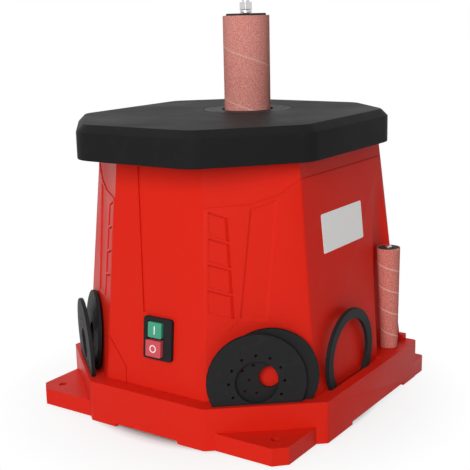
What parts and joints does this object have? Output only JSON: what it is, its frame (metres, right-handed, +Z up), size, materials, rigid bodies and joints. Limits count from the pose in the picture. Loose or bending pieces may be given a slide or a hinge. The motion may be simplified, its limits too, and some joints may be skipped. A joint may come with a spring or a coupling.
{
  "type": "oscillating spindle sander",
  "caption": "Benchtop sander with a tapered housing, an eight-sided cast table and an upright sanding drum that spins while it rises and falls.",
  "frame": {"origin": "on the floor under the middle of the table", "axes": "+Z up, the switch on the front faces -Y, +X to the right seen from the front"},
  "size_m": [0.334, 0.32, 0.438],
  "materials": {
    "red_plastic": "glossy moulded red",
    "black_iron": "black satin casting",
    "black_plastic": "matt black moulding",
    "black_rubber": "matt black rubber",
    "turned_steel": "turned, bright",
    "cast_aluminium": "cast, machined faces",
    "bearing_bronze": "turned bronze",
    "abrasive_cloth": "red-brown grit on cloth",
    "green_plastic": "green button",
    "stop_plastic": "red button",
    "motor_paint": "dark grey paint"
  },
  "bodies": {
    "frame": {"base": "red_plastic", "housing": "red_plastic", "table": "black_iron", "switch_case": "black_plastic", "dust_port": "black_plastic", "cord_gland": "black_plastic", "foot_front_right": "black_rubber", "foot_front_left": "black_rubber", "foot_rear_right": "black_rubber", "foot_rear_left": "black_rubber", "drive_belt": "black_rubber", "base_screw_1": "turned_steel", "base_screw_2": "turned_steel", "base_screw_3": "turned_steel", "base_screw_4": "turned_steel", "plate_bolt_1": "turned_steel", "plate_bolt_2": "turned_steel", "plate_bolt_3": "turned_steel", "plate_bolt_4": "turned_steel", "guide_rod_front": "turned_steel", "guide_rod_rear": "turned_steel", "pulley_bearing": "turned_steel", "drive_plate": "cast_aluminium", "lower_plate": "cast_aluminium", "upper_bush": "bearing_bronze", "motor_can": "motor_paint"},
    "carriage": {"carriage": "cast_aluminium", "carriage_bearing": "turned_steel"},
    "spindle": {"spindle_shaft": "turned_steel", "drum_washer": "turned_steel", "rubber_drum": "black_rubber", "sanding_sleeve": "abrasive_cloth", "top_washer": "turned_steel", "spindle_nut": "turned_steel", "upper_collar": "turned_steel", "lower_collar": "turned_steel"},
    "spindle_drive": {"spindle_pulley": "cast_aluminium", "worm": "turned_steel"},
    "rotor": {"motor_shaft": "turned_steel", "motor_pulley": "cast_aluminium"},
    "lift_wheel": {"worm_wheel": "bearing_bronze", "wheel_axle": "turned_steel", "crank_pin": "turned_steel"},
    "start_button": {"start_button": "green_plastic"},
    "stop_button": {"stop_button": "stop_plastic"},
    "table_insert": {"table_insert": "black_plastic"},
    "front_outer_insert": {"front_outer_insert": "black_plastic"},
    "front_inner_insert": {"front_inner_insert": "black_plastic"},
    "left_outer_insert": {"left_outer_insert": "black_plastic"},
    "left_inner_insert": {"left_inner_insert": "black_plastic"},
    "right_ring_insert": {"right_ring_insert": "black_plastic"},
    "spare": {"spare_sleeve": "abrasive_cloth", "spare_drum": "black_rubber", "spare_core": "turned_steel"}
  },
  "joints": [
    {"name": "spindle_stroke", "type": "slide", "parent": "frame", "child": "carriage", "axis": [0, 0, 1], "range_m": [0, 0.016]},
    {"name": "spindle_spin", "type": "hinge", "parent": "carriage", "child": "spindle", "pos_m": [0, 0.045, 0.25], "axis": [0, 0, 1], "continuous": true},
    {"name": "pulley_spin", "type": "hinge", "parent": "frame", "child": "spindle_drive", "pos_m": [0, 0.045, 0.109], "axis": [0, 0, 1], "continuous": true},
    {"name": "motor_spin", "type": "hinge", "parent": "frame", "child": "rotor", "pos_m": [0, -0.062, 0.109], "axis": [0, 0, 1], "continuous": true},
    {"name": "lift_wheel_spin", "type": "hinge", "parent": "frame", "child": "lift_wheel", "pos_m": [0.0314, 0.045, 0.1521], "axis": [0, 1, 0], "continuous": true},
    {"name": "start_press", "type": "slide", "parent": "frame", "child": "start_button", "axis": [0, 0.9958, -0.0916], "range_m": [0, 0.003], "stiffness_N_per_m": 400, "springref_m": -0.002},
    {"name": "stop_press", "type": "slide", "parent": "frame", "child": "stop_button", "axis": [0, 0.9958, -0.0916], "range_m": [0, 0.003], "stiffness_N_per_m": 400, "springref_m": -0.002},
    {"name": "table_insert_lift", "type": "slide", "parent": "frame", "child": "table_insert", "axis": [0, 0, 1], "range_m": [0, 0.03]},
    {"name": "front_outer_lift", "type": "slide", "parent": "frame", "child": "front_outer_insert", "axis": [0, 0, 1], "range_m": [0, 0.06]},
    {"name": "front_inner_lift", "type": "slide", "parent": "frame", "child": "front_inner_insert", "axis": [0, 0, 1], "range_m": [0, 0.06]},
    {"name": "left_outer_lift", "type": "slide", "parent": "frame", "child": "left_outer_insert", "axis": [-0.0224, -0.0268, 0.9994], "range_m": [0, 0.06]},
    {"name": "left_inner_lift", "type": "slide", "parent": "frame", "child": "left_inner_insert", "axis": [0.0591, 0.0707, 0.9957], "range_m": [0, 0.06]},
    {"name": "right_ring_lift", "type": "slide", "parent": "frame", "child": "right_ring_insert", "axis": [0, 0, 1], "range_m": [0, 0.06]},
    {"name": "spare_lift", "type": "slide", "parent": "frame", "child": "spare", "axis": [-0.0209, 0, 0.9998], "range_m": [0, 0.04]}
  ],
  "couplings": [
    {"joint": "pulley_spin", "follows": "spindle_spin", "ratio": 1},
    {"joint": "motor_spin", "follows": "spindle_spin", "ratio": 1.4011},
    {"joint": "lift_wheel_spin", "follows": "spindle_spin", "ratio": 0.029412}
  ]
}
